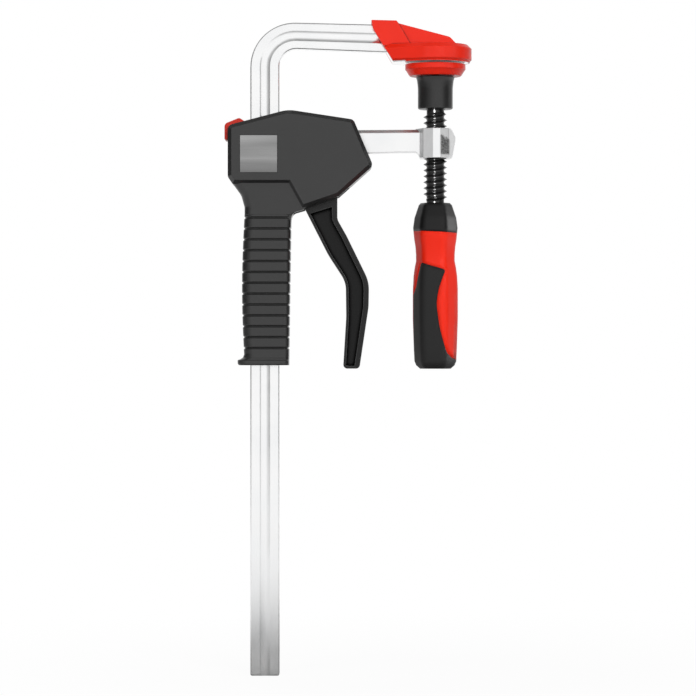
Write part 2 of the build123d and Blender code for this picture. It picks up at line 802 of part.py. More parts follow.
def housing_shells():
    body = housing_blank() - screw_holes() - nameplate_recess_cut()
    front = body & Pos(0, -50, -120) * Box(300, 100, 300)
    rear = body & Pos(0, 50, -120) * Box(300, 100, 300)
    return front, rear


def housing_plate():
    middle_x = nameplate_left + nameplate_side / 2
    middle_z = nameplate_top - nameplate_side / 2
    back = -housing_half_depth + nameplate_recess
    place = Pos(middle_x, back - nameplate_thickness / 2, middle_z)
    return place * Box(nameplate_side, nameplate_thickness, nameplate_side)


def housing_screws():
    group = []
    for x, z, depth in screw_places():
        seat = depth - screw_head_height - screw_sink
        head = rod(screw_head_radius, x, z, seat, seat + screw_head_height)
        shank = rod(screw_shank_radius, x, z, -depth + screw_tip_cover + 1, seat)
        group.append(head + shank)
    return Compound(group)


# --- Lever and drive plate ----------------------------------------------------------------

def lever_corners():
    """Side view of the hanging part of the lever."""
    drive_edge = drive_pin_x + drive_boss_radius - rail_inner_x
    return on_carriage(
        (15.3, -29.4, 0), (16.9, -53.4, 4.0), (33.1, -85.3, 60.0), (44.9, -103.4, 18.0),
        (45.2, -127.4, 60.0), (43.1, -162.0, 2.7), (54.1, -162.0, 2.7), (60.3, -120.4, 30.0),
        (60.6, -103.4, 24.0), (45.4, -72.4, 20.0), (39.2, -61.4, 8.0), (39.2, -47.4, 0),
        (drive_edge, drive_pin_z - 4 - boss_top, 0))


def lever_head():
    """Hub round the pivot pin and boss round the drive pin, both narrower than the grip part."""
    half = lever_head_half_depth
    low = pivot_z - 18.0
    body = rod(lever_head_radius, pivot_x, pivot_z, -half, half)
    body += rod(drive_boss_radius, drive_pin_x, drive_pin_z, -half, half)
    bridge = side_slab([(pivot_x, pivot_z + lever_head_radius - 1, 0),
                        (drive_pin_x, drive_pin_z + drive_boss_radius - 0.2, 0),
                        (drive_pin_x, low, 0), (pivot_x - lever_head_radius + 0.4, low, 0),
                        (pivot_x - lever_head_radius + 0.1, pivot_z, 0)], half)
    return body + bridge


def lever_pocket(side):
    """Hollow face of the lever inside its rim, which is wider on the palm's side."""
    face = offset(side_face(lever_corners()), amount=-lever_rim, kind=Kind.ARC)
    pocket = extrude(face, amount=lever_half_depth, both=True)
    pocket = pocket & Pos(-lever_palm_rim, 0, 0) * pocket
    keep = side_slab(on_carriage((5.5, -15.4, 0), (45.5, -15.4, 0), (45.5, -50.0, 0), (5.5, -62.3, 0)),
                     2 * lever_half_depth)
    depth = lever_half_depth - lever_web_half_depth
    middle = side * (lever_half_depth + lever_web_half_depth) / 2
    zone = Pos(pivot_x, middle, pivot_z - far_out / 2) * Box(far_out, depth, far_out)
    return (pocket & zone) - keep


def squeeze_lever():
    grip = side_slab(lever_corners(), lever_half_depth)
    narrow = block(pivot_x - far_out, pivot_x + far_out, far_out, pivot_z - 19.0, pivot_z + far_out)
    shoulder = (grip & narrow) & block(pivot_x - far_out, pivot_x + far_out, lever_head_half_depth,
                                       pivot_z - 19.0, pivot_z + far_out)
    body = (grip - narrow) + shoulder + lever_head()
    for side in (-1, 1):
        body -= lever_pocket(side)
    body -= rod(pivot_pin_radius + running_fit, pivot_x, pivot_z, -far_out, far_out)
    return body - rod(drive_pin_radius, drive_pin_x, drive_pin_z, -far_out, far_out)


def lever_pivot_pin():
    half = housing_half_depth - 1.6
    return rod(pivot_pin_radius, pivot_x, pivot_z, -half, half)


def lever_drive_pin():
    half = drive_plate_half_depth
    return rod(drive_pin_radius, drive_pin_x, drive_pin_z, -half, half)


def drive_plate():
    """Flat plate with a window for the rail and a fork that straddles the lever."""
    left = rail_outer_x - body_gap - drive_plate_wall
    slot_x = drive_spring_x + drive_spring_radius + drive_spring_wire + 1.0
    body = block(left, drive_pin_x + 3, drive_plate_half_depth, drive_plate_bottom, drive_plate_top)
    body -= block(rail_outer_x - body_gap, rail_inner_x + body_gap, rail_half + body_gap,
                  drive_plate_bottom - 1, drive_plate_top + 1)
    return body - block(slot_x, drive_pin_x + 4, lever_head_half_depth + body_gap,
                        drive_plate_bottom - 1, drive_plate_top + 1)


def drive_spring():
    low = drive_plate_bottom - drive_spring_length
    return coil_spring(drive_spring_x, low + 0.1, drive_spring_length - 0.4,
                       drive_spring_radius, drive_spring_wire, 4)


# --- Brake plate and release button -------------------------------------------------------

def brake_line_z(x):
    """Height of the tilted brake plate's middle at x."""
    return brake_pivot_z + (brake_pivot_x - x) * tan(radians(brake_tilt))


def brake_plate():
    """Plate with a window that grips the rail while it is tilted."""
    tilt = radians(brake_tilt)
    thick = brake_plate_thickness
    window = (rail_width + 2 * rail_slide_gap + thick * sin(tilt)) / cos(tilt)
    middle = (brake_pivot_x - rail_mid_x) / cos(tilt)
    reach = (brake_pivot_x - brake_spring_x) / cos(tilt) + brake_plate_overhang
    place = Pos(brake_pivot_x, 0, brake_pivot_z) * Rot(0, brake_tilt, 0)
    blank = Box(reach + 2.4, 2 * brake_plate_half_depth, thick)
    hole = Box(window, rail_thickness + 2 * body_gap, thick + 2)
    return place * Pos(1.2 - reach / 2, 0, 0) * blank - place * Pos(-middle, 0, 0) * hole


def brake_spring():
    high = brake_line_z(brake_spring_x) - brake_plate_thickness / 2 - 0.5
    length = high - brake_spring_seat - 0.1
    return coil_spring(brake_spring_x, brake_spring_seat + 0.1, length, brake_spring_radius,
                       brake_spring_wire, 5)


def release_button():
    """L-shaped thumb button over the upper left corner, with a finger down to the brake plate."""
    left = housing_left - rail_inner_x
    outer = left - button_skin
    low = button_low - boss_top
    finger_x = brake_spring_x - 0.4
    tip = brake_line_z(finger_x - 2.0) + brake_plate_thickness / 2 / cos(radians(brake_tilt)) + body_gap
    skin = side_slab(on_carriage(
        (outer, low, 0.8), (outer, 3.0, 3.0), (left + 7.6, 7.0, 2.0), (left + 11.3, 4.7, 0.4),
        (left + 9.6, 1.0, 0), (left + 3.2, -1.0, 0), (left - 0.2, -3.0, 0), (left - 0.2, low, 0.6),
    ), button_half_depth)
    finger = block(finger_x - 2.0, finger_x + 2.0, button_finger_half_depth, tip, boss_top + 2.6)
    return skin + finger


# --- All nodes ----------------------------------------------------------------------------

def build():
    front, rear = housing_shells()
    return {
        "rail_with_fixed_arm": rail_with_fixed_arm(),
        "fixed_jaw_cap": fixed_jaw_cap(),
        "housing_front_shell": front,
        "housing_rear_shell": rear,
        "housing_screws": housing_screws(),
        "housing_plate": housing_plate(),
        "sliding_arm": sliding_arm(),
        "squeeze_lever": squeeze_lever(),
        "lever_pivot_pin": lever_pivot_pin(),
        "lever_drive_pin": lever_drive_pin(),
        "drive_plate": drive_plate(),
        "drive_spring": drive_spring(),
        "brake_plate": brake_plate(),
        "brake_spring": brake_spring(),
        "release_button": release_button(),
        "thrust_sleeve": thrust_sleeve(),
        "snap_ring": snap_ring(),
        "spindle_screw": spindle_screw(),
        "pressure_plate": pressure_plate(),
        "swivel_cap": swivel_cap(),
        "handle_core": handle_core(),
        "handle_soft_grip": handle_soft_grip(),
        "handle_collar": handle_collar(),
        "handle_cross_pin": handle_cross_pin(),
    }


os.makedirs("parts", exist_ok=True)
for node, shape in build().items():
    export_step(shape, f"parts/{node}.step")
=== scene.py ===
import math

import bmesh
import bpy
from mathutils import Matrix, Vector


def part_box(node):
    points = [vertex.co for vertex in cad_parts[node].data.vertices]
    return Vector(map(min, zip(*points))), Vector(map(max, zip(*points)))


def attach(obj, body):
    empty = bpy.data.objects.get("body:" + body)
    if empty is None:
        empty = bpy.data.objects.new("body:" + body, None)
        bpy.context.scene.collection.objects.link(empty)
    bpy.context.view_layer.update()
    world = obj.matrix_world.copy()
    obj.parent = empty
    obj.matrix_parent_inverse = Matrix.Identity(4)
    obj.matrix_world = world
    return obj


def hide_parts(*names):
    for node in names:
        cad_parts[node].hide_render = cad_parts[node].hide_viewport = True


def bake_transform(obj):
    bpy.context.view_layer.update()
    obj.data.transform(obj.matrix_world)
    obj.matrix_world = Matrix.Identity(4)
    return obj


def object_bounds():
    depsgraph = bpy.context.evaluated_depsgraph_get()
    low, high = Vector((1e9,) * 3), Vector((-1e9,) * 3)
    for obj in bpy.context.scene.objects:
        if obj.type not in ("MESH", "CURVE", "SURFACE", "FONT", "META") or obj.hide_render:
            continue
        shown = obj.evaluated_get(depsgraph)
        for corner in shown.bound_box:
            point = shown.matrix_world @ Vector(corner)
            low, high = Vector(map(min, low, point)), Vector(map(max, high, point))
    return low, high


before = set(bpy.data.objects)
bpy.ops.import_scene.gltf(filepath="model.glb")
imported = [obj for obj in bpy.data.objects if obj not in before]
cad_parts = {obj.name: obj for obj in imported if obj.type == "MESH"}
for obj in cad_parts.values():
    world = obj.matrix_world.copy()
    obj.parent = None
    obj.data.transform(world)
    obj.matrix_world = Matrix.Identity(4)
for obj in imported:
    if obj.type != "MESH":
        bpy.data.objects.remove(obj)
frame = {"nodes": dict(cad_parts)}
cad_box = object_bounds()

# Looks of a one-handed bar clamp. Metres; +Z up along the rail, the screw's axis is x = 0, y = 0.

# --- Camera ---------------------------------------------------------------------------------

picture_side = 696
focal_pixels = 3000.0
camera_distance = 2.03
camera_x = -0.0591
camera_z = -0.1927
sensor_width = 36.0
camera_reach = 20.0

# --- Screw thread ---------------------------------------------------------------------------

thread_pitch = 0.004
thread_depth = 0.0021
# Height at which the ridge's crest passes the +X side.
thread_phase_z = -0.0666
thread_above_handle = 0.0018
thread_below_sleeve = 0.0022
# Share of a turn over which the ridge rises out of the core at both ends.
thread_fade = 0.4
# How deep the ridge's foot is sunk in the core.
thread_foot = 0.0003
# Half of one ridge from its crest down into the round valley: (share of half a pitch, share of the depth).
thread_half_profile = [(0.02, 1.0), (0.17, 0.74), (0.33, 0.44), (0.50, 0.22), (0.70, 0.07), (0.97, 0.0)]
thread_steps = 64

# The journal in the sleeve is wider than the thread's root, and the shank in the handle narrower.
journal_over_root = 0.0008
journal_chamfer = 0.001
shank_under_root = 0.0003
# The core changes its radius between these two distances outside the sleeve or inside the handle.
shoulder_near = 0.0002
shoulder_far = 0.0006
core_steps = 72

# --- Rail -----------------------------------------------------------------------------------

# The bend's centre, measured in from the rail's outer corner.
bend_centre_inset = 0.0305
# Drawn lines per metre across the bar, and how often they change along it.
drawn_lines = 2600
drawn_change = 14

# --- Rough dark patch on the boss -----------------------------------------------------------

# Each pair is (where the patch is absent, where it is full).
patch_left_x = (0.0025, 0.0038)
patch_right_x = (0.0100, 0.0085)
patch_front_y = (-0.004, -0.006)
patch_top_z = (-0.0432, -0.0450)
patch_bottom_z = (-0.0630, -0.0618)
# The patch's upper edge slants by this much per metre of X, and is ragged by this height.
patch_slant = 0.5
patch_raggedness = 0.007

# --- Plastics -------------------------------------------------------------------------------

black = (0.0, 0.0, 0.0)
# Grey of the painted highlight on outer edges, and the radius within which an edge turns for it.
edge_highlight_grey = (0.16, 0.16, 0.16)
edge_highlight_radius = 0.0010
# Cosine of the turn at which the painted edge highlight begins, and at which it is full.
edge_highlight_turn = (0.985, 0.86)
# Open share of the surroundings above which a place counts as fully open and gets no painted shade.
fully_open = 0.95
bevel_samples = 6
crease_samples = 8
grain_height = 0.00008
# Distance from the middle plane at which the floor of the lever's hollow ends, and at which its rim begins.
lever_floor_y = (0.0052, 0.0060)

# --- Meshes ---------------------------------------------------------------------------------

# Where the red lip of the jaw cap ends at the left, and its height over the jaw face.
jaw_rim_left = -0.0205
jaw_rim_clearance = 0.00005
level_tolerance = 0.00001
weld_distance = 0.000002
# Faces that meet at less than this many degrees shade as one curved face.
smooth_angle = 24.0

# --- Room and lamps -------------------------------------------------------------------------

# What gloss sees in the room, over the direction's X from left to right and over its Z from below to above:
# (place from 0 to 1, grey). The two are multiplied.
gloss_across = [(0.0, 0.05), (0.03, 0.08), (0.09, 0.30), (0.16, 0.52), (0.25, 0.60), (0.32, 1.0),
                (0.85, 1.0), (0.92, 0.30), (0.96, 0.04)]
gloss_upward = [(0.0, 0.2), (0.25, 0.45), (0.40, 1.0), (0.72, 1.0), (0.88, 0.48), (1.0, 0.10)]
# Diffuse fill from the room, from straight ahead of bright_side to straight behind it.
bright_side = (0.05, -1.0, 0.12)
fill_around = [(0.0, 1.0), (0.09, 0.98), (0.18, 0.52), (0.28, 0.12), (0.50, 0.06), (0.70, 0.12),
               (0.85, 0.6), (0.93, 1.0)]
fill_strength = 0.9

floor_half_side = 3.0
floor_gap = 0.0002
floor_grey = 0.35
floor_roughness = 0.9
# Over the distance from the middle of the floor: (near, far), (value at near, value at far).
floor_white_to_camera = (0.10, 0.50), (0.86, 1.0)
floor_white_in_gloss = (0.25, 0.70), (0.0, 1.0)
floor_glow = (0.10, 0.50), (1.09, 1.0)

# Lamps that light everything: name, place, (width, height), watts, seen in gloss.
lamp_aim = (-0.06, 0.0, -0.18)
room_lamps = [
    ("key", (0.6, -1.9, 0.7), (0.7, 1.0), 22, False),
    ("fill", (-0.9, -1.7, 0.3), (0.5, 1.4), 7, False),
    ("side", (1.6, -0.9, 0.1), (0.6, 1.2), 8, False),
    ("top", (0.1, 0.5, 1.4), (1.2, 0.8), 4, False),
    ("rim", (1.6, 0.45, -0.1), (0.5, 1.2), 1.2, True),
]


# --- Node helpers ---------------------------------------------------------------------------

def map_range(nodes, links, value, given, wanted):
    """The value, moved from one range to another and held inside it; each range is (first, last)."""
    node = nodes.new("ShaderNodeMapRange")
    for socket, number in zip(("From Min", "From Max", "To Min", "To Max"), (*given, *wanted)):
        node.inputs[socket].default_value = number
    links.new(value, node.inputs["Value"])
    return node.outputs["Result"]


def color_ramp(nodes, links, value, stops, interpolation="LINEAR"):
    """Colour ramp from (position, colour or grey) stops."""
    node = nodes.new("ShaderNodeValToRGB")
    node.color_ramp.interpolation = interpolation
    elements = node.color_ramp.elements
    while len(elements) < len(stops):
        elements.new(0.5)
    for element, (position, color) in zip(elements, stops):
        element.position = position
        element.color = (*(color if isinstance(color, tuple) else shade(color)), 1.0)
    links.new(value, node.inputs["Fac"])
    return node.outputs["Color"]


def shade(value):
    """The same grey in all three channels."""
    return (value, value, value)


class Material:
    """A node material round one Principled shader, with short calls for what is often used.

    The colour and roughness given at the start are what a viewer without the nodes shows.
    """

    def __init__(self, name, color, roughness, metallic=0.0, gloss=0.5):
        self.material = bpy.data.materials.new(name)
        self.material.use_nodes = True
        self.nodes = self.material.node_tree.nodes
        self.links = self.material.node_tree.links
        self.shader = self.nodes["Principled BSDF"]
        self.shader.inputs["Base Color"].default_value = (*color, 1.0)
        self.shader.inputs["Roughness"].default_value = roughness
        self.shader.inputs["Metallic"].default_value = metallic
        self.shader.inputs["Specular IOR Level"].default_value = gloss
        self.place = self.nodes.new("ShaderNodeTexCoord").outputs["Object"]

    def connect(self, value, socket):
        """Gives a socket a link, a colour or a number."""
        if isinstance(value, bpy.types.NodeSocket):
            self.links.new(value, socket)
        elif isinstance(value, tuple):
            socket.default_value = (*value, 1.0)
        else:
            socket.default_value = value

    def use(self, socket, value):
        self.links.new(value, self.shader.inputs[socket])

    def axis(self, name):
        """One object coordinate, in metres."""
        node = self.nodes.new("ShaderNodeSeparateXYZ")
        self.links.new(self.place, node.inputs[0])
        return node.outputs[name]

    def vector(self, x, y, z):
        node = self.nodes.new("ShaderNodeCombineXYZ")
        for socket, value in zip(node.inputs, (x, y, z)):
            self.links.new(value, socket)
        return node.outputs[0]

    def stretched(self, scale):
        """Object coordinates multiplied by scale along X, Y and Z."""
        mapping = self.nodes.new("ShaderNodeMapping")
        mapping.inputs["Scale"].default_value = scale
        self.links.new(self.place, mapping.inputs["Vector"])
        return mapping.outputs["Vector"]

    def noise(self, scale, detail=3.0, roughness=0.55, vector=None):
        node = self.nodes.new("ShaderNodeTexNoise")
        node.inputs["Scale"].default_value = scale
        node.inputs["Detail"].default_value = detail
        node.inputs["Roughness"].default_value = roughness
        self.links.new(vector or self.place, node.inputs["Vector"])
        return node.outputs["Fac"]

    def ramp(self, value, *stops):
        return color_ramp(self.nodes, self.links, value, stops)

    def range(self, value, given, wanted):
        return map_range(self.nodes, self.links, value, given, wanted)

    def share(self, value, absent_and_full):
        """0 where the value is at the first number, 1 at the second."""
        return self.range(value, absent_and_full, (0.0, 1.0))

    def mix(self, factor, first, second):
        """Colour mix; first and second are sockets or colours."""
        node = self.nodes.new("ShaderNodeMix")
        node.data_type = "RGBA"
        self.connect(factor, node.inputs["Factor"])
        self.connect(first, node.inputs[6])
        self.connect(second, node.inputs[7])
        return node.outputs[2]

    def calculate(self, operation, first, second=None):
        """Number from one or two sockets or numbers."""
        node = self.nodes.new("ShaderNodeMath")
        node.operation = operation
        self.connect(first, node.inputs[0])
        if second is not None:
            self.connect(second, node.inputs[1])
        return node.outputs[0]

    def add(self, first, second):
        return self.calculate("ADD", first, second)

    def times(self, first, second):
        return self.calculate("MULTIPLY", first, second)

    def beyond(self, first, second):
        """How far the first value is above the second, and 0 below it."""
        return self.calculate("MAXIMUM", self.calculate("SUBTRACT", first, second), 0.0)

    def softened_normal(self, radius):
        """The surface's normal with edges rounded by the radius."""
        soft = self.nodes.new("ShaderNodeBevel")
        soft.samples = bevel_samples
        soft.inputs["Radius"].default_value = radius
        return soft.outputs["Normal"]

    def painted_edge_highlight(self, color, amount):
        """Painted highlight: lightens a colour along outer edges, where the shape turns within the highlight
        radius.
        """
        soft = self.softened_normal(edge_highlight_radius)
        sharp = self.nodes.new("ShaderNodeNewGeometry")
        turn = self.nodes.new("ShaderNodeVectorMath")
        turn.operation = "DOT_PRODUCT"
        self.links.new(soft, turn.inputs[0])
        self.links.new(sharp.outputs["Normal"], turn.inputs[1])
        edge = self.share(turn.outputs["Value"], edge_highlight_turn)
        return self.mix(self.times(edge, amount), color, edge_highlight_grey)

    def open_share(self, reach, closed=0.35):
        """0 in grooves and inner corners that are narrower than reach, 1 on open faces."""
        node = self.nodes.new("ShaderNodeAmbientOcclusion")
        node.samples = crease_samples
        node.only_local = True
        node.inputs["Distance"].default_value = reach
        return self.share(node.outputs["AO"], (closed, fully_open))

    def crease_shade(self, color, reach, depth):
        """Painted shade: darkens a colour in grooves and inner corners that are narrower than reach, where
        shade falls.
        """
        return self.mix(self.open_share(reach), self.mix(depth, color, black), color)

    def bump(self, relief, strength, height, edge=0.0):
        """Bump from a relief socket of the given full height, over edges softened by the edge radius."""
        node = self.nodes.new("ShaderNodeBump")
        node.inputs["Strength"].default_value = strength
        node.inputs["Distance"].default_value = height
        self.links.new(relief, node.inputs["Height"])
        if edge:
            self.links.new(self.softened_normal(edge), node.inputs["Normal"])
        self.use("Normal", node.outputs["Normal"])


# --- Metals ---------------------------------------------------------------------------------

def zinc_steel():
    """Bright zinc-plated drawn bar: fine lines along it and round its bend, faint clouds in the plating."""
    m = Material("zinc_steel", shade(0.90), roughness=0.2, metallic=1.0)
    low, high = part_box("rail_with_fixed_arm")
    left = m.beyond(low.x + bend_centre_inset, m.axis("X"))
    above = m.beyond(m.axis("Z"), high.z - bend_centre_inset)
    across = m.calculate("SQRT", m.add(m.times(left, left), m.times(above, above)))
    along = m.add(m.axis("X"), m.axis("Z"))
    drawn = m.vector(m.times(across, drawn_lines), m.times(m.axis("Y"), drawn_lines),
                     m.times(along, drawn_change))
    lines = m.noise(scale=1.0, detail=2.0, vector=drawn)
    clouds = m.noise(scale=38, detail=4.0)
    m.use("Base Color", m.ramp(clouds, (0.3, (0.90, 0.905, 0.91)), (0.7, shade(0.97))))
    m.use("Roughness", m.range(clouds, (0.3, 0.75), (0.15, 0.25)))
    m.bump(lines, strength=0.12, height=0.00004, edge=0.0009)
    return m.material


def rough_patch(m):
    """1 on the ragged patch at the front of the boss, 0 elsewhere."""
    from_left = m.share(m.axis("X"), patch_left_x)
    from_right = m.share(m.axis("X"), patch_right_x)
    in_front = m.share(m.axis("Y"), patch_front_y)
    ragged_z = m.add(m.axis("Z"), m.times(m.noise(scale=300, detail=4.0), patch_raggedness))
    below_top = m.share(m.add(ragged_z, m.times(m.axis("X"), patch_slant)), patch_top_z)
    above_bottom = m.share(m.axis("Z"), patch_bottom_z)
    return m.times(m.times(m.times(from_left, from_right), in_front), m.times(below_top, above_bottom))


def forged_steel():
    """Zinc-plated forging: softly uneven skin, with a coarse darker patch on the boss."""
    m = Material("forged_steel", shade(0.88), roughness=0.24, metallic=1.0)
    skin = m.noise(scale=170, detail=4.0)
    grain = m.noise(scale=1500, detail=5.0, roughness=0.7)
    bright = m.ramp(m.noise(scale=60), (0.3, (0.94, 0.945, 0.95)), (0.7, shade(0.99)))
    dark = m.ramp(grain, (0.38, 0.05), (0.62, 0.42))
    patch = rough_patch(m)
    m.use("Base Color", m.mix(patch, bright, dark))
    m.use("Roughness", m.range(patch, (0.0, 1.0), (0.34, 0.5)))
    relief = m.add(m.times(skin, 0.7), m.times(m.times(grain, patch), 1.2))
    m.bump(relief, strength=0.35, height=0.0004, edge=0.0008)
    return m.material


def ground_steel():
    """Ground flat steel of the inner plates and pins."""
    m = Material("ground_steel", shade(0.62), roughness=0.35, metallic=1.0)
    lines = m.noise(scale=1.0, detail=2.0, vector=m.stretched((60, 2400, 2400)))
    m.use("Base Color", m.ramp(m.noise(scale=90), (0.3, 0.52), (0.7, 0.68)))
    m.use("Roughness", m.range(lines, (0.3, 0.7), (0.28, 0.42)))
    m.bump(lines, strength=0.2, height=0.00005)
    return m.material


def spring_steel():
    """Dark drawn wire."""
    m = Material("spring_steel", shade(0.45), roughness=0.3, metallic=1.0)
    m.use("Base Color", m.ramp(m.noise(scale=240), (0.3, 0.36), (0.7, 0.52)))
    m.use("Roughness", m.range(m.noise(scale=500), (0.3, 0.7), (0.24, 0.4)))
    return m.material


def label_metal():
    """Bare brushed plate: fine level lines, a slow painted reflection in bands from top to bottom, and a lower
    half painted darker as shade.
    """
    m = Material("label_metal", shade(0.5), roughness=0.3, metallic=1.0)
    lines = m.noise(scale=1.0, detail=2.0, vector=m.stretched((40, 900, 4200)))
    # Painted reflection: slow bands of lighter and darker grey from top to bottom.
    slow = m.noise(scale=1.0, detail=1.0, vector=m.stretched((8, 8, 75)))
    painted_sheen = m.ramp(slow, (0.35, 0.28), (0.5, 0.42), (0.65, 0.32))
    # Painted shade: from the middle down, the plate darkens towards its bottom edge.
    low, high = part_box("housing_plate")
    upper = m.share(m.axis("Z"), (low.z, (low.z + high.z) / 2))
    m.use("Base Color", m.mix(upper, shade(0.20), painted_sheen))
    m.use("Roughness", m.range(lines, (0.3, 0.7), (0.24, 0.42)))
    m.bump(lines, strength=0.25, height=0.00004, edge=0.0002)
    return m.material


def black_screw_steel():
    """Burnished and oiled thread: black, with hard glints in its valleys."""
    m = Material("black_screw_steel", shade(0.006), roughness=0.18, gloss=0.35)
    specks = m.noise(scale=900, detail=4.0, roughness=0.7)
    m.use("Base Color", m.ramp(specks, (0.4, 0.002), (0.7, 0.006)))
    m.use("Roughness", m.range(specks, (0.3, 0.7), (0.17, 0.24)))
    m.bump(specks, strength=0.15, height=0.00005)
    return m.material


# --- Plastics -------------------------------------------------------------------------------

def moulded(name, color, roughness, spread, grain, strength, edge, gloss=0.5, crease_shade_width=0.0015, edge_light=0.0):
    """Moulded plastic: a fine grain, clouds that shift colour and gloss a little, and painted shade in its
    grooves and inner corners.

    spread is how far the clouds shift the colour, grain and strength are the bump's scale and strength,
    edge is the radius that softens edges; the groove width is that of the grooves and inner corners painted
    dark as shade, and the edge light is how strong the painted highlight on outer edges is.
    """
    m = Material(name, color, roughness, gloss=gloss)
    clouds = m.noise(scale=45)
    low = tuple(c * (1.0 - spread) for c in color)
    high = tuple(min(1.0, c * (1.0 + spread)) for c in color)
    paint = m.ramp(clouds, (0.3, low), (0.7, high))
    # Painted highlight along the outer edges.
    if edge_light:
        paint = m.painted_edge_highlight(paint, edge_light)
    # Painted shade: grooves and inner corners darkened where shade falls.
    m.use("Base Color", m.crease_shade(paint, crease_shade_width, depth=0.9))
    m.use("Roughness", m.range(clouds, (0.3, 0.7), (roughness * 0.92, roughness * 1.08)))
    m.bump(m.noise(grain, detail=2.0), strength, grain_height, edge)
    return m.material


def lever_plastic():
    """Black lever: satin rim with painted highlights on its edges, a darker and smoother floor, and a black
    line of painted shade between them.
    """
    rim = shade(0.014)
    m = Material("lever_plastic", rim, roughness=0.36)
    floor = m.range(m.calculate("ABSOLUTE", m.axis("Y")), lever_floor_y, (1.0, 0.0))
    # Painted highlight along the rim's outer edges.
    paint = m.mix(floor, m.painted_edge_highlight(rim, amount=0.4), shade(0.006))
    # Painted shade: a black line where the floor meets the rim's walls, and in the other narrow corners.
    m.use("Base Color", m.crease_shade(paint, reach=0.0026, depth=1.0))
    # Painted shade in gloss: no specular reflection in narrow corners.
    m.use("Specular IOR Level", m.range(m.open_share(0.0028, closed=0.58), (0.0, 1.0), (0.0, 0.20)))
    m.use("Roughness", m.range(floor, (0.0, 1.0), (0.36, 0.30)))
    m.bump(m.noise(scale=1900, detail=2.0), strength=0.2, height=grain_height, edge=0.0006)
    return m.material


def dress_nodes():
    """Gives every CAD node its material, adds the coils and the jaw cap's lip, and returns the lip."""
    # Each plastic below gets painted shade in its grooves; the housing also gets a painted highlight on its
    # edges.
    housing = moulded("housing_plastic", shade(0.0125), roughness=0.30, spread=0.08, grain=1700,
                      strength=0.20, edge=0.0006, gloss=0.62, crease_shade_width=0.0045, edge_light=0.10)
    collar = moulded("collar_plastic", shade(0.005), roughness=0.34, spread=0.10, grain=2200,
                     strength=0.12, edge=0.0030, gloss=0.30)
    rubber = moulded("soft_rubber", shade(0.015), roughness=0.48, spread=0.08, grain=2600,
                     strength=0.20, edge=0.0040, gloss=0.22)
    cap_red = moulded("cap_red", (0.66, 0.017, 0.005), roughness=0.32, spread=0.03, grain=700,
                      strength=0.10, edge=0.0006, gloss=0.25)
    grip_red = moulded("handle_red", (0.80, 0.018, 0.003), roughness=0.30, spread=0.03, grain=500,
                       strength=0.06, edge=0.0040, gloss=0.25)
    button_red = moulded("button_red", (0.50, 0.025, 0.014), roughness=0.40, spread=0.05, grain=900,
                         strength=0.15, edge=0.0005, gloss=0.25)
    sleeve = moulded("sleeve_plastic", shade(0.014), roughness=0.30, spread=0.10, grain=2000,
                     strength=0.08, edge=0.0008)
    screw_oxide = moulded("screw_oxide", shade(0.012), roughness=0.35, spread=0.20, grain=1500,
                          strength=0.20, edge=0.0002)
    zinc = zinc_steel()
    forged = forged_steel()
    ground = ground_steel()
    spring = spring_steel()
    dress = {
        "rail_with_fixed_arm": zinc, "sliding_arm": forged,
        "fixed_jaw_cap": cap_red, "swivel_cap": cap_red, "pressure_plate": ground,
        "housing_front_shell": housing, "housing_rear_shell": housing, "housing_screws": screw_oxide,
        "housing_plate": label_metal(), "squeeze_lever": lever_plastic(),
        "lever_pivot_pin": ground, "lever_drive_pin": ground, "drive_plate": ground,
        "drive_spring": spring, "brake_plate": ground, "brake_spring": spring,
        "release_button": button_red, "thrust_sleeve": sleeve, "snap_ring": spring,
        "handle_core": grip_red, "handle_soft_grip": rubber, "handle_collar": collar,
        "handle_cross_pin": ground,
    }
    for node, material in dress.items():
        slots = frame["nodes"][node].data.materials
        slots.clear()
        slots.append(material)
        smooth_shading(frame["nodes"][node])
    spring_coil("drive_coil", "drive_spring", spring)
    spring_coil("brake_coil", "brake_spring", spring)
    return jaw_cap_rim(cap_red)


# --- Pieces ---------------------------------------------------------------------------------

def smooth_shading(piece):
    """Joins the faces that meet smoothly and keeps the others apart, so curved faces shade as one."""
    weld = piece.modifiers.new("weld", "WELD")
    weld.merge_threshold = weld_distance
    split = piece.modifiers.new("split", "EDGE_SPLIT")
    split.split_angle = math.radians(smooth_angle)
    split.use_edge_sharp = False
    piece.modifiers.new("normals", "WEIGHTED_NORMAL")


def mesh_object(name, mesh, material):
    """Object in the scene from a mesh, with curved faces shaded smooth."""
    piece = bpy.data.objects.new(name, mesh)
    bpy.context.scene.collection.objects.link(piece)
    mesh.materials.append(material)
    mesh.shade_smooth()
    mesh.set_sharp_from_angle(angle=math.radians(smooth_angle))
    return piece


def finished_mesh(name, bm):
    """Mesh from a bmesh, which is freed."""
    mesh = bpy.data.meshes.new(name)
    bm.to_mesh(mesh)
    bm.free()
    return mesh


def sorted_mesh(name, bm):
    """Mesh from a bmesh, which is freed, with points and faces in an order that is the same each run."""
    points = sorted(tuple(v.co) for v in bm.verts)
    place = {point: i for i, point in enumerate(points)}
    faces = []
    for face in bm.faces:
        corners = [place[tuple(v.co)] for v in face.verts]
        first = corners.index(min(corners))
        faces.append(corners[first:] + corners[:first])
    bm.free()
    mesh = bpy.data.meshes.new(name)
    mesh.from_pydata(points, [], sorted(faces))
    return mesh


